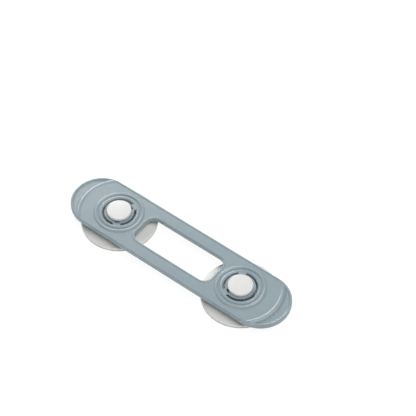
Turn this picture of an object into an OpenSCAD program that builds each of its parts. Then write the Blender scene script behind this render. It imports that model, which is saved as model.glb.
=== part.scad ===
// Child safety strap latch: a flexible strap whose two ends snap over
// mushroom-headed buttons, each fixed to a self-adhesive round base.
// X runs along the strap, Z is up, and the origin is on the surface that the
// latch is stuck to, midway between the two buttons.

/* [Strap] */
// Overall length of the strap
strap_l = 150; // [140:1:180]
// Width of the strap
strap_w = 35.6; // [34:0.2:42]
// Thickness of the strap
strap_t = 3; // [2.4:0.1:4]
// Rounding of the strap's upper edges and of the bead along them
top_edge_r = 0.7; // [0.5:0.1:1.1]
// Height of the bead along the upper edges
edge_bead_h = 0.35; // [0.1:0.05:0.45]
// Rounding of the strap's lower edges
bottom_edge_r = 0.4; // [0.2:0.1:0.8]
// Distance from each button axis to the end of the strap
end_reach = 31.3; // [28:0.1:36]

/* [Window] */
// Distance from each button axis to the window
window_gap = 16.7; // [16:0.1:20]
// Width of the window
window_w = 19.5; // [12:0.5:22]
// Corner radius of the window
window_corner_r = 5.2; // [3:0.1:5.8]

/* [Snap collar] */
// Width of the collar's ring, from its bore to the ring slot
collar_w = 1.85; // [1.5:0.05:2.4]
// Width of the ring slot round the collar
ring_slot_w = 1.2; // [0.8:0.1:1.6]
// Direction of each bridge, measured from the strap's middle
bridge_angle = 60; // [45:1:80]
// Width of each bridge between collar and boss
bridge_w = 4.4; // [3:0.1:6]
// How far the bridges lie below the top of the collar
bridge_drop = 0.1; // [0.1:0.05:0.4]
// Depth of the relief under the bridges, which lets the collar tip
bridge_relief = 1.2; // [0.4:0.1:1.6]
// Width of the relief outside the ring slot
relief_w = 1.6; // [0.6:0.1:2]
// Width of the notch in the bore beside each bridge
notch_w = 2.8; // [1.5:0.1:4]
// Depth of the notch outwards from the bore
notch_depth = 1.4; // [0.6:0.1:1.8]
// Lead-in chamfer under the bore
lead_in = 0.7; // [0.3:0.1:1]
// Chamfer over the bore
bore_chamfer = 0.25; // [0.1:0.05:0.4]

/* [Boss] */
// Height of the collar and of the ribs above the strap
boss_h = 0.7; // [0.4:0.05:0.9]
// Width of each of the two round ribs outside the ring slot
rib_w = 2.3; // [1.8:0.1:2.5]
// How far the ring slot cuts into the foot of the inner rib
rib_trim = 0.1; // [0.1:0.05:0.4]
// Width of the valley between the ribs
valley_w = 0.5; // [0.1:0.1:0.6]

/* [Finger tab] */
// Distance from the ridge's crest to the strap's end
tab_l = 7.6; // [6:0.1:11]
// Width of the ridge
ridge_w = 2.8; // [1.8:0.1:3.4]
// Height of the ridge above the strap
ridge_h = 0.5; // [0.3:0.05:0.8]
// Depth of the finger recess outside the ridge
recess_h = 0.55; // [0.2:0.05:0.9]
// Width of the rim left between the recess and the strap's outline
rim_w = 1.3; // [1:0.1:2]

/* [Button] */
// Diameter of the button's head
head_d = 14.4; // [12:0.1:15]
// Height of the head above its ramp
head_t = 1.6; // [1.3:0.05:2.4]
// Rounding of the head's edge
head_edge_r = 0.65; // [0.3:0.05:0.8]
// Rise of the head's dome
head_dome = 0.22; // [0.1:0.02:0.4]
// How far the head overhangs the collar's bore
snap_hold = 0.45; // [0.3:0.05:0.7]
// Height of the release ramp under the head
release_ramp = 0.3; // [0.2:0.05:0.6]
// Gap between the collar and the ramp
head_gap = 0.15; // [0.1:0.05:0.4]
// Radial clearance of the neck in the collar
neck_clear = 0.07; // [0.03:0.01:0.1]
// Diameter of the shank that holds the button in its base
shank_d = 6.8; // [5:0.1:8]
// Radial clearance of the shank in the base
shank_clear = 0.04; // [0.02:0.01:0.1]
// Diameter of the shank's staked end
stake_d = 9.2; // [8.6:0.1:11]
// Thickness of the staked end
stake_t = 0.9; // [0.6:0.1:1]

/* [Base] */
// Diameter of the base
base_d = 45; // [40:0.5:52]
// Thickness of the base at its edge
base_edge_t = 1.3; // [1.2:0.1:2]
// Rounding of the base's upper edge
base_edge_r = 0.6; // [0.3:0.1:0.8]
// Rise of the base's dome from its edge to its middle
base_dome = 1.3; // [0.8:0.1:2]
// Height of the hub above the top of the dome
hub_h = 1.1; // [0.9:0.1:3]
// Fillet at the foot of the hub
hub_fillet = 0.8; // [0.3:0.1:1]
// Depth of the pocket for the staked end
stake_pocket_h = 1.2; // [1.1:0.1:1.6]

/* [Adhesive] */
// Thickness of the foam pad
pad_t = 1; // [0.8:0.1:2]
// How far the pad stays inside the base's edge
pad_inset = 0.4; // [0.2:0.1:2]
// Thickness of the release liner
liner_t = 0.2; // [0.1:0.05:0.3]
// How far the liner stays inside the base's edge
liner_inset = 0.2; // [0:0.1:1]

/* [Hidden] */
$fn = 96;
LEFT = -1;
RIGHT = 1;
// Overshoot of every cutting shape
over = 1;
// Segments of the very large circles behind the two domes
dome_fn = 720;

head_r = head_d / 2;
bore_r = head_r - snap_hold;
neck_r = bore_r - neck_clear;
collar_r = bore_r + collar_w;
ring_slot_r = collar_r + ring_slot_w;
inner_rib_r = ring_slot_r + rib_w / 2 - rib_trim;
outer_rib_r = inner_rib_r + rib_w + valley_w;
relief_r = ring_slot_r + relief_w;
button_pitch = strap_l - 2 * end_reach;
window_l = button_pitch - 2 * window_gap;
tip_r = strap_w / 2;
tip_x = strap_l / 2 - tip_r;
tab_x = end_reach - tip_r;
ridge_r = end_reach - tab_l;

base_z = liner_t + pad_t;
dome_top_z = base_z + base_edge_t + base_dome;
strap_z = dome_top_z + hub_h;
edge_bead_z = strap_t + edge_bead_h - top_edge_r;
boss_top_z = strap_t + boss_h;
ramp_z = strap_z + boss_top_z + head_gap;
head_z = ramp_z + release_ramp;

// Radius of a round bead that is w wide and h high where it leaves a flat face
function bead_section_r(w, h) = (w * w / 4 + h * h) / (2 * h);

// Radius of the circle that rises by h over the half width w
function dome_r(w, h) = (w * w + h * h) / (2 * h);

// How far a dome of radius r has dropped at the distance w from its middle
function dome_drop(r, w) = r - sqrt(r * r - w * w);

// Moves a piece to the button axis of one end, turned to face that end
module at_end(side) {
    translate([side * button_pitch / 2, 0, 0])
        rotate([0, 0, side == LEFT ? 180 : 0])
            children();
}

// Half section of a disc of radius r and height h, with a rounded upper edge
// that runs smoothly into a dome; reach goes past the line where they meet
module domed_half_section(r, h, edge_r, dome) {
    flat_w = r - edge_r;
    edge_z = h - dome - edge_r;
    big_r = dome_r(flat_w, dome);
    dome_z = edge_z + dome - big_r;
    reach = 1 + 2 * edge_r / big_r;
    square([r, edge_z]);
    translate([flat_w, edge_z]) circle(edge_r);
    intersection() {
        translate([0, dome_z]) circle(big_r + edge_r, $fn = dome_fn);
        polygon([[0, 0], [flat_w, 0], [flat_w, edge_z],
            [flat_w * reach, dome_z + (edge_z - dome_z) * reach], [0, h + over]]);
    }
}

// Half section of the strap across its width, with rounded edges and the bead
// that stands along the upper one
module strap_half_section() {
    square([tip_r - bottom_edge_r, edge_bead_z]);
    square([tip_r - top_edge_r, strap_t]);
    translate([0, bottom_edge_r]) square([tip_r, edge_bead_z - bottom_edge_r]);
    translate([tip_r - bottom_edge_r, bottom_edge_r]) circle(bottom_edge_r);
    translate([tip_r - top_edge_r, edge_bead_z]) circle(top_edge_r);
}

// Plain strap: a bar between two half-round ends
module strap_blank() {
    translate([-tip_x, 0, 0]) rotate([90, 0, 90]) linear_extrude(2 * tip_x) {
        strap_half_section();
        mirror([1, 0]) strap_half_section();
    }
    for (side = [LEFT, RIGHT])
        translate([side * tip_x, 0, 0])
            rotate([0, 0, side == LEFT ? 90 : -90])
                rotate_extrude(angle = 180) strap_half_section();
}

// What a rounded edge of radius r leaves open, beside a wall at x = 0
module edge_flare(r) {
    difference() {
        translate([-over, 0]) square([r + over, r + over]);
        translate([r, 0]) circle(r);
    }
}

// Round bead of radius r beside a wall at x = 0, left square on the wall's side
// for the window to cut
module edge_bead(r) {
    translate([-over / 2, -r]) square([over / 2 + r, 2 * r]);
    translate([r, 0]) circle(r);
}

// Sweeps a section round the window, whose wall is the section's x = 0
module along_window() {
    straight_l = window_l - 2 * window_corner_r;
    straight_w = window_w - 2 * window_corner_r;
    for (turn = [0, 180]) rotate([0, 0, turn]) {
        translate([-straight_l / 2, window_w / 2, 0])
            rotate([90, 0, 90]) linear_extrude(straight_l) children();
        translate([window_l / 2, straight_w / 2, 0])
            rotate([90, 0, 0]) linear_extrude(straight_w) children();
        translate([straight_l / 2, straight_w / 2, 0])
            rotate_extrude(angle = 90) translate([window_corner_r, 0]) children();
        translate([-straight_l / 2, straight_w / 2, 0])
            rotate([0, 0, 90]) rotate_extrude(angle = 90)
                translate([window_corner_r, 0]) children();
    }
}

// Window with rounded corners and rounded upper and lower edges
module window_cut() {
    straight_l = window_l - 2 * window_corner_r;
    straight_w = window_w - 2 * window_corner_r;
    translate([0, 0, -over]) linear_extrude(strap_t + 2 * over) {
        square([window_l, straight_w], center = true);
        square([straight_l, window_w], center = true);
        for (x = [-1, 1], y = [-1, 1])
            translate([x * straight_l / 2, y * straight_w / 2]) circle(window_corner_r);
    }
    translate([0, 0, edge_bead_z]) along_window() edge_flare(top_edge_r);
    translate([0, 0, bottom_edge_r])
        mirror([0, 0, 1]) along_window() edge_flare(bottom_edge_r);
}

// Repeats a shape along the two bridges, which lean towards the strap's middle
module at_bridges() {
    for (side = [-1, 1]) rotate([0, 0, 180 + side * bridge_angle]) children();
}

// Raised part of a boss: the collar, its bridges and the two ribs, which the
// bridges run into
module boss_relief() {
    section_r = bead_section_r(rib_w, boss_h);
    for (rib_r = [inner_rib_r, outer_rib_r])
        rotate_extrude() translate([rib_r, boss_top_z - section_r]) circle(section_r);
    translate([0, 0, strap_t / 2]) {
        cylinder(r = collar_r, h = boss_top_z - strap_t / 2);
        intersection() {
            cylinder(r = inner_rib_r, h = boss_top_z);
            at_bridges() translate([0, -bridge_w / 2, 0])
                cube([inner_rib_r + over, bridge_w, boss_top_z - bridge_drop - strap_t / 2]);
        }
    }
}

// Bore, ring slot, notches and underside relief that leave the snap collar
// standing on its two bridges
module collar_cut() {
    translate([0, 0, -over]) cylinder(r = bore_r, h = boss_top_z + 2 * over);
    translate([0, 0, -over])
        cylinder(r1 = bore_r + lead_in + over, r2 = bore_r, h = lead_in + over);
    translate([0, 0, boss_top_z - bore_chamfer])
        cylinder(r1 = bore_r, r2 = bore_r + bore_chamfer + over, h = bore_chamfer + over);
    difference() {
        translate([0, 0, -over]) cylinder(r = ring_slot_r, h = boss_top_z + 2 * over);
        translate([0, 0, -2 * over]) cylinder(r = collar_r, h = boss_top_z + 4 * over);
        at_bridges() translate([0, -bridge_w / 2, -2 * over])
            cube([ring_slot_r + over, bridge_w, boss_top_z + 4 * over]);
    }
    at_bridges() translate([0, -notch_w / 2, -over])
        cube([bore_r + notch_depth, notch_w, boss_top_z + 2 * over]);
    difference() {
        translate([0, 0, -over]) cylinder(r = relief_r, h = bridge_relief + over);
        translate([0, 0, -2 * over]) cylinder(r = collar_r, h = bridge_relief + 3 * over);
    }
}

// Crescent recess between the ridge and the rim, centred on the button axis
module tab_recess() {
    floor_r = tip_r - rim_w - recess_h;
    difference() {
        translate([tab_x, 0, strap_t - recess_h])
            cylinder(r1 = floor_r, r2 = floor_r + recess_h + over, h = recess_h + over);
        translate([0, 0, strap_t - recess_h - over])
            cylinder(r = ridge_r + ridge_w / 2, h = recess_h + 3 * over);
    }
}

// Curved ridge that a fingertip lifts, its ends sloping down into the edge bead
module tab_ridge() {
    section_r = bead_section_r(ridge_w, ridge_h);
    end_r = tip_r - top_edge_r;
    clip_h = strap_t / 2 + ridge_h + over;
    intersection() {
        translate([0, 0, strap_t + ridge_h - section_r])
            rotate([0, 0, -90]) rotate_extrude(angle = 180)
                translate([ridge_r, 0]) circle(section_r);
        translate([tab_x, 0, strap_t / 2])
            cylinder(r1 = end_r + strap_t / 2, r2 = end_r - ridge_h - over, h = clip_h);
        translate([tab_x, 0, strap_t / 2]) cylinder(r = end_r, h = clip_h);
    }
}

// One flexible moulding: the strap with its window, bosses, collars and tabs
module strap() {
    color("#9fadb4") translate([0, 0, strap_z]) {
        difference() {
            union() {
                strap_blank();
                translate([0, 0, edge_bead_z]) along_window() edge_bead(top_edge_r);
                for (side = [LEFT, RIGHT]) at_end(side) boss_relief();
            }
            window_cut();
            for (side = [LEFT, RIGHT]) at_end(side) {
                collar_cut();
                tab_recess();
            }
        }
        for (side = [LEFT, RIGHT]) at_end(side) tab_ridge();
    }
}

// Domed disc with a hub for the collar to turn on and a stepped hole for the
// button's shank
module base() {
    foot_r = collar_r + hub_fillet;
    foot_z = dome_top_z
        - dome_drop(dome_r(base_d / 2 - base_edge_r, base_dome) + base_edge_r, foot_r);
    color("#e4e4e1") difference() {
        union() {
            translate([0, 0, base_z]) rotate_extrude()
                domed_half_section(base_d / 2, base_edge_t + base_dome, base_edge_r, base_dome);
            translate([0, 0, base_z]) cylinder(r = collar_r, h = strap_z - base_z);
            translate([0, 0, foot_z]) rotate_extrude() difference() {
                translate([0, -hub_fillet]) square([foot_r, 2 * hub_fillet]);
                translate([foot_r, hub_fillet]) circle(hub_fillet);
            }
        }
        translate([0, 0, base_z - over])
            cylinder(r = shank_d / 2 + shank_clear, h = strap_z - base_z + 2 * over);
        translate([0, 0, base_z - over])
            cylinder(r = stake_d / 2 + shank_clear, h = stake_pocket_h + over);
    }
}

// Mushroom-headed stud: domed head, release ramp, neck, shank and staked end
module button() {
    color("#ededeb") {
        translate([0, 0, head_z]) rotate_extrude()
            domed_half_section(head_r, head_t, head_edge_r, head_dome);
        translate([0, 0, ramp_z]) cylinder(r1 = neck_r, r2 = head_r, h = release_ramp);
        translate([0, 0, strap_z]) cylinder(r = neck_r, h = ramp_z - strap_z);
        translate([0, 0, base_z + stake_pocket_h])
            cylinder(r = shank_d / 2, h = strap_z - base_z - stake_pocket_h);
        translate([0, 0, base_z + stake_pocket_h - stake_t])
            cylinder(r = stake_d / 2, h = stake_t);
    }
}

// Double-sided adhesive foam disc
module foam_pad() {
    color("#d5d6d3") translate([0, 0, liner_t])
        cylinder(r = base_d / 2 - pad_inset, h = pad_t);
}

// Peel-off film under the foam pad
module release_liner() {
    color("#f1efe8") cylinder(r = base_d / 2 - liner_inset, h = liner_t);
}

strap();
at_end(LEFT) base();  // left_base
at_end(RIGHT) base();  // right_base
at_end(LEFT) button();  // left_button
at_end(RIGHT) button();  // right_button
at_end(LEFT) foam_pad();  // left_foam_pad
at_end(RIGHT) foam_pad();  // right_foam_pad
at_end(LEFT) release_liner();  // left_release_liner
at_end(RIGHT) release_liner();  // right_release_liner
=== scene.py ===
"""Child safety strap latch, dressed for rendering.

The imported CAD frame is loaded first. The strap, the buttons and the bases are
its own solids in moulded finishes; the foam pads and their release liners are
modelled here, in the places of their solids. X runs along the strap, Z is up,
and all lengths are in metres.
"""

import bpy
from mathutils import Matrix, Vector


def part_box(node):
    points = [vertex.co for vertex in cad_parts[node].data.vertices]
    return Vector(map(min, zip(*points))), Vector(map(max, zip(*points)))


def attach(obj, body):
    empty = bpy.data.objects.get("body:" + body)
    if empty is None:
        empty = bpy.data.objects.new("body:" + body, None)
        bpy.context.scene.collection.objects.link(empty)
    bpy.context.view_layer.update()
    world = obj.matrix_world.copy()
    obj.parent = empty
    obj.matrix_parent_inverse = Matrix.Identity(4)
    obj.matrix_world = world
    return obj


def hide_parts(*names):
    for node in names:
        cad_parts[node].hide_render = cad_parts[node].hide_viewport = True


bl_info = {
    "name": "Strap Latch",
    "version": (1, 0, 0),
    "blender": (4, 5, 0),
    "location": "3D View > Sidebar > Strap Latch",
    "description": "Finishes a stick-on child safety strap latch and sets up its studio",
    "category": "Add Mesh",
}

from math import pi, radians

import bmesh
import bpy
from bpy.props import FloatProperty, FloatVectorProperty, PointerProperty
from mathutils import Vector

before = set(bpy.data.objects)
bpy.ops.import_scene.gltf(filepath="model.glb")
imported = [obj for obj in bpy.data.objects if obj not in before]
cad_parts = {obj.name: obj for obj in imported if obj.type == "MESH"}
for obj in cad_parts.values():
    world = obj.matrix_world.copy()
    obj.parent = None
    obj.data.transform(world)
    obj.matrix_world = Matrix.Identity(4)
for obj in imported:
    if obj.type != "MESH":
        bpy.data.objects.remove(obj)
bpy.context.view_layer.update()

MM = 0.001
SIDES = ("left", "right")
# Turns of a round piece, so that its outline stays smooth in a close view
TURN_STEPS = 160
# Faces that meet at more than this keep a sharp edge between them
SHARP_ANGLE = radians(40)
# Far below any real size, so that only points in one place are merged
MERGE_DISTANCE = 0.001 * MM
# What nearly all values of the noise texture lie between
NOISE_RANGE = (0.2, 0.8)


def hex_to_linear(code):
    """Linear RGBA of an sRGB hex colour."""
    parts = [int(code[i:i + 2], 16) / 255 for i in (1, 3, 5)]
    return (*[c / 12.92 if c <= 0.04045 else ((c + 0.055) / 1.055) ** 2.4 for c in parts], 1.0)


def colour_property(name, description, code):
    """A colour that the user can change, given as an sRGB hex colour."""
    return FloatVectorProperty(name=name, description=description, subtype="COLOR", size=4,
                               min=0.0, max=1.0, default=hex_to_linear(code))


def length_property(name, description, default_mm, max_mm):
    """A length that the user can change, given in millimetres."""
    return FloatProperty(name=name, description=description, unit="LENGTH", subtype="DISTANCE",
                         min=0.0, max=max_mm * MM, precision=5, default=default_mm * MM)


def power_property(name, description, default_watts):
    """The power of a lamp that the user can change."""
    return FloatProperty(name=name, description=description, unit="POWER", min=0.0,
                         default=default_watts)


def add_node(tree, kind, values=None, links=None, **settings):
    """Add a node, set its properties and socket values, and link its inputs."""
    node = tree.nodes.new(kind)
    for name, value in settings.items():
        setattr(node, name, value)
    for socket, value in (values or {}).items():
        node.inputs[socket].default_value = value
    for socket, source in (links or {}).items():
        tree.links.new(source, node.inputs[socket])
    return node


def new_material(name, ior, sockets=None):
    """An empty material: its nodes, its Object coordinates and its shader."""
    material = bpy.data.materials.new(name)
    material.use_nodes = True
    tree = material.node_tree
    tree.nodes.clear()
    place = add_node(tree, "ShaderNodeTexCoord").outputs["Object"]
    shader = add_node(tree, "ShaderNodeBsdfPrincipled", {"IOR": ior, **(sockets or {})})
    add_node(tree, "ShaderNodeOutputMaterial", links={"Surface": shader.outputs[0]})
    return material, tree, place, shader


def noise(tree, place, size, detail=2.0, low=0.0, high=1.0, seed=0.0):
    """Noise with features of one real size, from low to high over its usual range."""
    least, most = NOISE_RANGE
    texture = add_node(tree, "ShaderNodeTexNoise", {"Scale": 1 / size, "Detail": detail, "W": seed},
                       {"Vector": place}, noise_dimensions="4D")
    # The smooth step leaves no crease where the noise runs past its usual range
    return add_node(tree, "ShaderNodeMapRange",
                    {"From Min": least, "From Max": most, "To Min": low, "To Max": high},
                    {"Value": texture.outputs["Fac"]}, interpolation_type="SMOOTHSTEP").outputs[0]


def blend_colours(tree, first, second, factor):
    """From the first colour to the second, as the factor goes from 0 to 1."""
    # The node has its sockets once for each data type: these are those of a colour
    mix = add_node(tree, "ShaderNodeMix", {6: first, 7: second}, {0: factor}, data_type="RGBA")
    return mix.outputs[2]


def bumps(tree, shader, *layers):
    """Stack layers of relief, each a height from 0 to 1 and its real depth."""
    below = None
    for height, depth in layers:
        links = {"Height": height} if below is None else {"Height": height, "Normal": below}
        below = add_node(tree, "ShaderNodeBump", {"Strength": 1.0, "Distance": depth}, links).outputs[0]
    tree.links.new(below, shader.inputs["Normal"])


def band(tree, place, axis, centre, half_width):
    """1 on the middle of a thin line square to one axis, down to 0 at its edges."""
    split = add_node(tree, "ShaderNodeSeparateXYZ", links={0: place})
    offset = add_node(tree, "ShaderNodeMath", {1: centre}, {0: split.outputs[axis]}, operation="SUBTRACT")
    away = add_node(tree, "ShaderNodeMath", links={0: offset.outputs[0]}, operation="ABSOLUTE")
    return add_node(tree, "ShaderNodeMapRange",
                    {"From Min": half_width, "From Max": 0.4 * half_width},
                    {"Value": away.outputs[0]}, interpolation_type="SMOOTHSTEP").outputs[0]


def dress(name, material):
    """Give a CAD node its finish, through its object's material slots."""
    for slot in bpy.data.objects[name].material_slots:
        slot.material = material


def strap_material(settings):
    """Satin thermoplastic elastomer, injection moulded in a spark-eroded tool.

    The tool's fine pits break up the gloss, the grey-blue pigment drifts a
    little along the flow, and the parting line shows on the side walls.
    """
    material, tree, place, shader = new_material("satin_moulded_elastomer", 1.49)
    flow = noise(tree, place, 9 * MM)
    tree.links.new(blend_colours(tree, settings.flow_colour, settings.colour, flow),
                   shader.inputs["Base Color"])
    tree.links.new(noise(tree, place, 4 * MM, low=0.23, high=0.27, seed=3.0), shader.inputs["Roughness"])
    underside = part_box("strap")[0][2]
    parting = band(tree, place, 2, underside + settings.parting, 0.09 * MM)
    # The tool's pits are some 0.05 mm wide, and drawn coarser to show
    grain = noise(tree, place, settings.grain, detail=3.0, seed=5.0)
    bumps(tree, shader, (grain, 0.014 * MM), (noise(tree, place, 9 * MM, detail=1.0, seed=8.0), 0.04 * MM),
          (parting, 0.04 * MM))
    return material


def button_material(settings):
    """White acetal, moulded in a polished tool.

    The surface is smooth and hard, so it carries a clear soft highlight, with
    only a slow ripple where the thick head shrank as it cooled.
    """
    material, tree, place, shader = new_material("gloss_moulded_acetal", 1.48)
    tone = noise(tree, place, 5 * MM, detail=1.0)
    tree.links.new(blend_colours(tree, settings.shade_colour, settings.colour, tone),
                   shader.inputs["Base Color"])
    tree.links.new(noise(tree, place, 2 * MM, low=0.29, high=0.35, seed=2.0), shader.inputs["Roughness"])
    bumps(tree, shader, (noise(tree, place, 3.5 * MM, detail=1.0, seed=4.0), 0.012 * MM),
          (noise(tree, place, 0.4 * MM, seed=6.0), 0.001 * MM))
    return material


def base_material(settings):
    """White polypropylene, moulded with a fine satin texture.

    Softer and waxier than the button, so its highlight is broad, and the dome
    shows faint flow marks.
    """
    material, tree, place, shader = new_material("satin_moulded_polypropylene", 1.49)
    flow = noise(tree, place, 8 * MM, seed=1.0)
    tree.links.new(blend_colours(tree, settings.shade_colour, settings.colour, flow),
                   shader.inputs["Base Color"])
    tree.links.new(noise(tree, place, 5 * MM, low=0.3, high=0.4, seed=2.0), shader.inputs["Roughness"])
    # The texture is some 0.04 mm wide, and drawn coarser to show
    bumps(tree, shader, (noise(tree, place, 0.3 * MM, detail=3.0, seed=3.0), 0.004 * MM),
          (noise(tree, place, 9 * MM, seed=4.0), 0.02 * MM))
    return material


def foam_material(settings):
    """Closed-cell polyethylene foam tape.

    Its cut edge shows the cells, each with a slightly different tone, and it
    has no gloss.
    """
    material, tree, place, shader = new_material("closed_cell_foam", 1.45, {"Roughness": 0.85})
    cells = add_node(tree, "ShaderNodeTexVoronoi", {"Scale": 1 / settings.cell}, {"Vector": place})
    tone = add_node(tree, "ShaderNodeSeparateColor", links={0: cells.outputs["Color"]})
    tree.links.new(blend_colours(tree, settings.cell_colour, settings.colour, tone.outputs[0]),
                   shader.inputs["Base Color"])
    # A cut cell is a shallow dish, some seventh of its width deep
    bumps(tree, shader, (cells.outputs["Distance"], 0.15 * settings.cell))
    return material


def liner_material(settings):
    """Silicone-coated glassine paper.

    Long fibres cloud the sheet, and the coating gives it a soft sheen.
    """
    material, tree, place, shader = new_material("glassine_release_paper", 1.5)
    # Fibres lie mostly along the web that the discs are punched from
    along = add_node(tree, "ShaderNodeMapping", {"Scale": (0.25, 1.0, 1.0)}, {"Vector": place}).outputs[0]
    cloud = noise(tree, along, 1.5 * MM, detail=5.0)
    tree.links.new(blend_colours(tree, settings.fibre_colour, settings.colour, cloud),
                   shader.inputs["Base Color"])
    tree.links.new(noise(tree, along, 3 * MM, low=0.4, high=0.52, seed=2.0), shader.inputs["Roughness"])
    bumps(tree, shader, (noise(tree, along, 0.5 * MM, detail=4.0, seed=4.0), 0.01 * MM))
    return material


def add_piece(name, bm, material, side, kind):
    """Make a finished mesh a piece that replaces a node of the frame."""
    bmesh.ops.remove_doubles(bm, verts=bm.verts, dist=MERGE_DISTANCE)
    bmesh.ops.recalc_face_normals(bm, faces=bm.faces)
    mesh = bpy.data.meshes.new(name)
    bm.to_mesh(mesh)
    bm.free()
    mesh.shade_smooth()
    mesh.set_sharp_from_angle(angle=SHARP_ANGLE)
    mesh.materials.append(material)
    piece = bpy.data.objects.new(name, mesh)
    bpy.context.scene.collection.objects.link(piece)
    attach(piece, f"{side}_anchor")
    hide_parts(f"{side}_{kind}")
    return piece


def disc_place(node):
    """Middle of a round node seen from above, its radius, bottom and top."""
    lo, hi = (Vector(corner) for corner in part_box(node))
    middle = (lo + hi) / 2
    return Vector((middle.x, middle.y, 0)), (hi.x - lo.x) / 2, lo.z, hi.z


class StrapSettings(bpy.types.PropertyGroup):
    """Finish of the strap."""

    colour: colour_property("Colour", "Colour of the elastomer", "#97A7AE")
    flow_colour: colour_property("Flow Marks", "Colour where the pigment drifts", "#93A3AA")
    grain: length_property("Grain", "Width of the pits in the surface", 0.35, 2)
    parting: length_property("Parting Line", "Height of the line above the strap's underside", 1.5, 4)


class ButtonSettings(bpy.types.PropertyGroup):
    """Finish of the two buttons."""

    colour: colour_property("Colour", "Colour of the acetal", "#EAEAE8")
    shade_colour: colour_property("Shade", "Colour in the faint shrink marks", "#E6E6E4")


class BaseSettings(bpy.types.PropertyGroup):
    """Finish of the two bases."""

    colour: colour_property("Colour", "Colour of the polypropylene", "#EFEFEB")
    shade_colour: colour_property("Flow Marks", "Colour in the faint flow marks", "#EAEAE6")


class FoamPadSettings(bpy.types.PropertyGroup):
    """Shape and finish of the two foam pads."""

    colour: colour_property("Colour", "Colour of the foam", "#DFE0DD")
    cell_colour: colour_property("Cells", "Colour of the darker cells", "#D1D2CE")
    cell: length_property("Cell Size", "Width of the cells in the foam", 0.45, 2)
    pull_in: length_property("Pull-In", "How far the cut edge pulls in between the faces", 0.16, 1)


class LinerSettings(bpy.types.PropertyGroup):
    """Shape and finish of the two release liners."""

    colour: colour_property("Colour", "Colour of the paper", "#F1EFE8")
    fibre_colour: colour_property("Fibres", "Colour of the clouded fibres", "#E7E4DA")
    slit: length_property("Slit", "Width of the slit that the liner is peeled from", 0.15, 2)


class StageSettings(bpy.types.PropertyGroup):
    """Floor, lamps and camera."""

    key_power: power_property("Key Lamp", "Power of the low lamp behind the left end", 4.9)
    top_power: power_property("Top Lamp", "Power of the large lamp above the right end", 5.7)
    fill_power: power_property("Fill Lamp", "Power of the low lamp in front of the latch", 2.4)
    surroundings: FloatProperty(name="Surroundings", description="Brightness of the white surroundings",
                                min=0.0, max=1.0, default=0.16, subtype="FACTOR")
    lens: FloatProperty(name="Lens", description="Focal length of the camera, in millimetres",
                        min=1.0, default=131.88)


class LATCH_OT_strap(bpy.types.Operator):
    """Give the strap its moulded elastomer finish"""

    bl_idname = "latch.strap"
    bl_label = "Strap"

    def execute(self, context):
        dress("strap", strap_material(context.scene.latch_strap))
        return {"FINISHED"}


class LATCH_OT_buttons(bpy.types.Operator):
    """Give the two buttons their polished acetal finish"""

    bl_idname = "latch.buttons"
    bl_label = "Buttons"

    def execute(self, context):
        material = button_material(context.scene.latch_buttons)
        for side in SIDES:
            dress(f"{side}_button", material)
        return {"FINISHED"}


class LATCH_OT_bases(bpy.types.Operator):
    """Give the two bases their satin polypropylene finish"""

    bl_idname = "latch.bases"
    bl_label = "Bases"

    def execute(self, context):
        material = base_material(context.scene.latch_bases)
        for side in SIDES:
            dress(f"{side}_base", material)
        return {"FINISHED"}


class LATCH_OT_foam_pads(bpy.types.Operator):
    """Cut the two foam pads, whose edges pull in between their sticky faces"""

    bl_idname = "latch.foam_pads"
    bl_label = "Foam Pads"

    def execute(self, context):
        settings = context.scene.latch_foam_pads
        material = foam_material(settings)
        for side in SIDES:
            centre, radius, bottom, top = disc_place(f"{side}_foam_pad")
            bm = bmesh.new()
            half = [(0, bottom), (radius, bottom), (radius - settings.pull_in, (bottom + top) / 2),
                    (radius, top), (0, top)]
            verts = [bm.verts.new(centre + Vector((r, 0, z))) for r, z in half]
            edges = [bm.edges.new(pair) for pair in zip(verts, verts[1:])]
            # The waist is rounded over most of the edge before the half section is turned
            bmesh.ops.bevel(bm, geom=[verts[2]], offset=0.4 * (top - bottom), offset_type="OFFSET",
                            segments=8, profile=0.5, affect="VERTICES", material=-1)
            bmesh.ops.spin(bm, geom=bm.verts[:] + bm.edges[:], cent=centre, axis=(0, 0, 1),
                           angle=2 * pi, steps=TURN_STEPS, use_merge=True)
            pad = add_piece(f"{side}_foam_disc", bm, material, side, "foam_pad")
        return {"FINISHED"}


class LATCH_OT_release_liners(bpy.types.Operator):
    """Punch the two release liners, each slit across so that it peels"""

    bl_idname = "latch.release_liners"
    bl_label = "Release Liners"

    def execute(self, context):
        settings = context.scene.latch_release_liners
        material = liner_material(settings)
        for side in SIDES:
            centre, radius, bottom, top = disc_place(f"{side}_release_liner")
            bm = bmesh.new()
            for facing in (-1, 1):
                made = bmesh.ops.create_circle(bm, cap_ends=True, radius=radius, segments=TURN_STEPS)
                faces = {face for vert in made["verts"] for face in vert.link_faces}
                edges = {edge for vert in made["verts"] for edge in vert.link_edges}
                bmesh.ops.bisect_plane(bm, geom=[*made["verts"], *edges, *faces],
                                       plane_co=(0, facing * settings.slit / 2, 0),
                                       plane_no=(0, facing, 0), clear_inner=True)
            grown = bmesh.ops.extrude_face_region(bm, geom=bm.faces[:])["geom"]
            bmesh.ops.translate(bm, verts=[v for v in grown if isinstance(v, bmesh.types.BMVert)],
                                vec=(0, 0, top - bottom))
            bmesh.ops.translate(bm, verts=bm.verts, vec=centre + Vector((0, 0, bottom)))
            add_piece(f"{side}_slit_liner", bm, material, side, "release_liner")
        return {"FINISHED"}


# Half the width of the floor, far past what the camera sees
FLOOR_REACH = 3.0
# What the floor gives back of the light that reaches the latch from it
PAPER_WHITE = (0.88, 0.88, 0.88, 1)
# Where the floor is seen, a glow near full white is topped up by a grey that the
# lamps light, so that it's white but for a soft shadow
SHADOWED_GREY = (0.18, 0.18, 0.18, 1)
FLOOR_GLOW = 0.91
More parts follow.
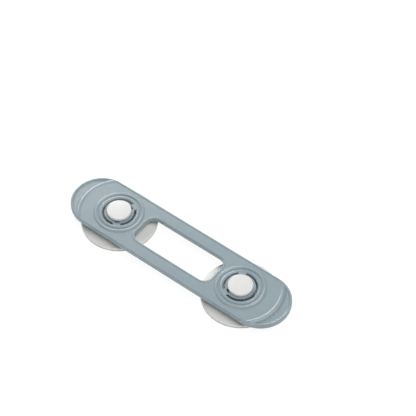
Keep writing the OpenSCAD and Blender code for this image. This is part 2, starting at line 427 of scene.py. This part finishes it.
# Side of each square lamp, and where it stands
LAMPS = {
    "key": (0.45, (-0.599, 0.452, 0.4)),
    "top": (0.8, (0.397, 0.145, 0.906)),
    "fill": (0.4, (0.252, -0.941, 0.225)),
}
# Where the camera stands, and the point that it looks at
CAMERA_PLACE = Vector((332.23, -405.20, 695.08)) * MM
CAMERA_TARGET = Vector((-8.77, 38.70, 0.18)) * MM
# In millimetres, as the camera takes it
SENSOR_WIDTH = 36


def white_where_seen(tree):
    """1 for the camera and for reflected and transmitted rays, 0 for other light."""
    path = add_node(tree, "ShaderNodeLightPath")
    seen = path.outputs["Is Camera Ray"]
    for name in ("Is Glossy Ray", "Is Transmission Ray"):
        seen = add_node(tree, "ShaderNodeMath", links={0: seen, 1: path.outputs[name]},
                        operation="MAXIMUM").outputs[0]
    return seen


def add_floor(scene):
    """A white floor that takes the latch's shadow and lights it as white paper does."""
    bm = bmesh.new()
    bmesh.ops.create_grid(bm, x_segments=1, y_segments=1, size=FLOOR_REACH)
    mesh = bpy.data.meshes.new("floor")
    bm.to_mesh(mesh)
    bm.free()
    material = bpy.data.materials.new("white_paper_sweep")
    material.use_nodes = True
    tree = material.node_tree
    tree.nodes.clear()
    paper = add_node(tree, "ShaderNodeBsdfDiffuse", {"Color": PAPER_WHITE})
    shadowed = add_node(tree, "ShaderNodeBsdfDiffuse", {"Color": SHADOWED_GREY})
    glow = add_node(tree, "ShaderNodeEmission", {"Strength": FLOOR_GLOW})
    bright = add_node(tree, "ShaderNodeAddShader", links={0: shadowed.outputs[0], 1: glow.outputs[0]})
    mix = add_node(tree, "ShaderNodeMixShader",
                   links={0: white_where_seen(tree), 1: paper.outputs[0], 2: bright.outputs[0]})
    add_node(tree, "ShaderNodeOutputMaterial", links={"Surface": mix.outputs[0]})
    mesh.materials.append(material)
    floor = bpy.data.objects.new("floor", mesh)
    scene.collection.objects.link(floor)


def add_surroundings(scene, strength):
    """Even white surroundings, which look full white and light the latch less."""
    world = bpy.data.worlds.new("studio")
    world.use_nodes = True
    tree = world.node_tree
    tree.nodes.clear()
    lit = add_node(tree, "ShaderNodeBackground", {"Color": (1, 1, 1, 1), "Strength": strength})
    white = add_node(tree, "ShaderNodeBackground", {"Color": (1, 1, 1, 1), "Strength": 1.0})
    mix = add_node(tree, "ShaderNodeMixShader",
                   links={0: white_where_seen(tree), 1: lit.outputs[0], 2: white.outputs[0]})
    add_node(tree, "ShaderNodeOutputWorld", links={"Surface": mix.outputs[0]})
    scene.world = world


def aim(thing, target):
    """Turn a lamp or a camera towards a point."""
    thing.rotation_euler = (target - thing.location).to_track_quat("-Z", "Y").to_euler()


def add_lamp(scene, name, power, size, location):
    """A square soft lamp that faces the latch."""
    data = bpy.data.lights.new(name, "AREA")
    data.energy = power
    data.size = size
    lamp = bpy.data.objects.new(name, data)
    lamp.location = location
    aim(lamp, Vector((0, 0, 0)))
    scene.collection.objects.link(lamp)


class LATCH_OT_stage(bpy.types.Operator):
    """Set up the floor, the lamps and the camera"""

    bl_idname = "latch.stage"
    bl_label = "Stage"

    def execute(self, context):
        settings = context.scene.latch_stage
        scene = context.scene
        add_floor(scene)
        add_surroundings(scene, settings.surroundings)
        add_lamp(scene, "key", settings.key_power, *LAMPS["key"])
        add_lamp(scene, "top", settings.top_power, *LAMPS["top"])
        add_lamp(scene, "fill", settings.fill_power, *LAMPS["fill"])
        camera = bpy.data.objects.new("camera", bpy.data.cameras.new("camera"))
        camera.data.lens = settings.lens
        camera.data.sensor_width = SENSOR_WIDTH
        camera.location = CAMERA_PLACE
        aim(camera, CAMERA_TARGET)
        scene.collection.objects.link(camera)
        scene.camera = camera
        scene.view_settings.view_transform = "Standard"
        return {"FINISHED"}


# Name of each settings group in the scene, the group, and the operator it feeds
GROUPS = (
    ("latch_strap", StrapSettings, LATCH_OT_strap),
    ("latch_buttons", ButtonSettings, LATCH_OT_buttons),
    ("latch_bases", BaseSettings, LATCH_OT_bases),
    ("latch_foam_pads", FoamPadSettings, LATCH_OT_foam_pads),
    ("latch_release_liners", LinerSettings, LATCH_OT_release_liners),
    ("latch_stage", StageSettings, LATCH_OT_stage),
)


class VIEW3D_PT_strap_latch(bpy.types.Panel):
    """Sizes, colours and steps of the strap latch"""

    bl_label = "Strap Latch"
    bl_idname = "VIEW3D_PT_strap_latch"
    bl_space_type = "VIEW_3D"
    bl_region_type = "UI"
    bl_category = "Strap Latch"

    def draw(self, context):
        for name, settings, operator in GROUPS:
            box = self.layout.box()
            for key in settings.__annotations__:
                box.prop(getattr(context.scene, name), key)
            box.operator(operator.bl_idname)


def register():
    for name, settings, operator in GROUPS:
        bpy.utils.register_class(settings)
        bpy.utils.register_class(operator)
        setattr(bpy.types.Scene, name, PointerProperty(type=settings))
    bpy.utils.register_class(VIEW3D_PT_strap_latch)


def unregister():
    bpy.utils.unregister_class(VIEW3D_PT_strap_latch)
    for name, settings, operator in reversed(GROUPS):
        delattr(bpy.types.Scene, name)
        bpy.utils.unregister_class(operator)
        bpy.utils.unregister_class(settings)


def main():
    register()
    bpy.ops.latch.strap()
    bpy.ops.latch.buttons()
    bpy.ops.latch.bases()
    bpy.ops.latch.foam_pads()
    bpy.ops.latch.release_liners()
    bpy.ops.latch.stage()


if __name__ == "__main__":
    main()
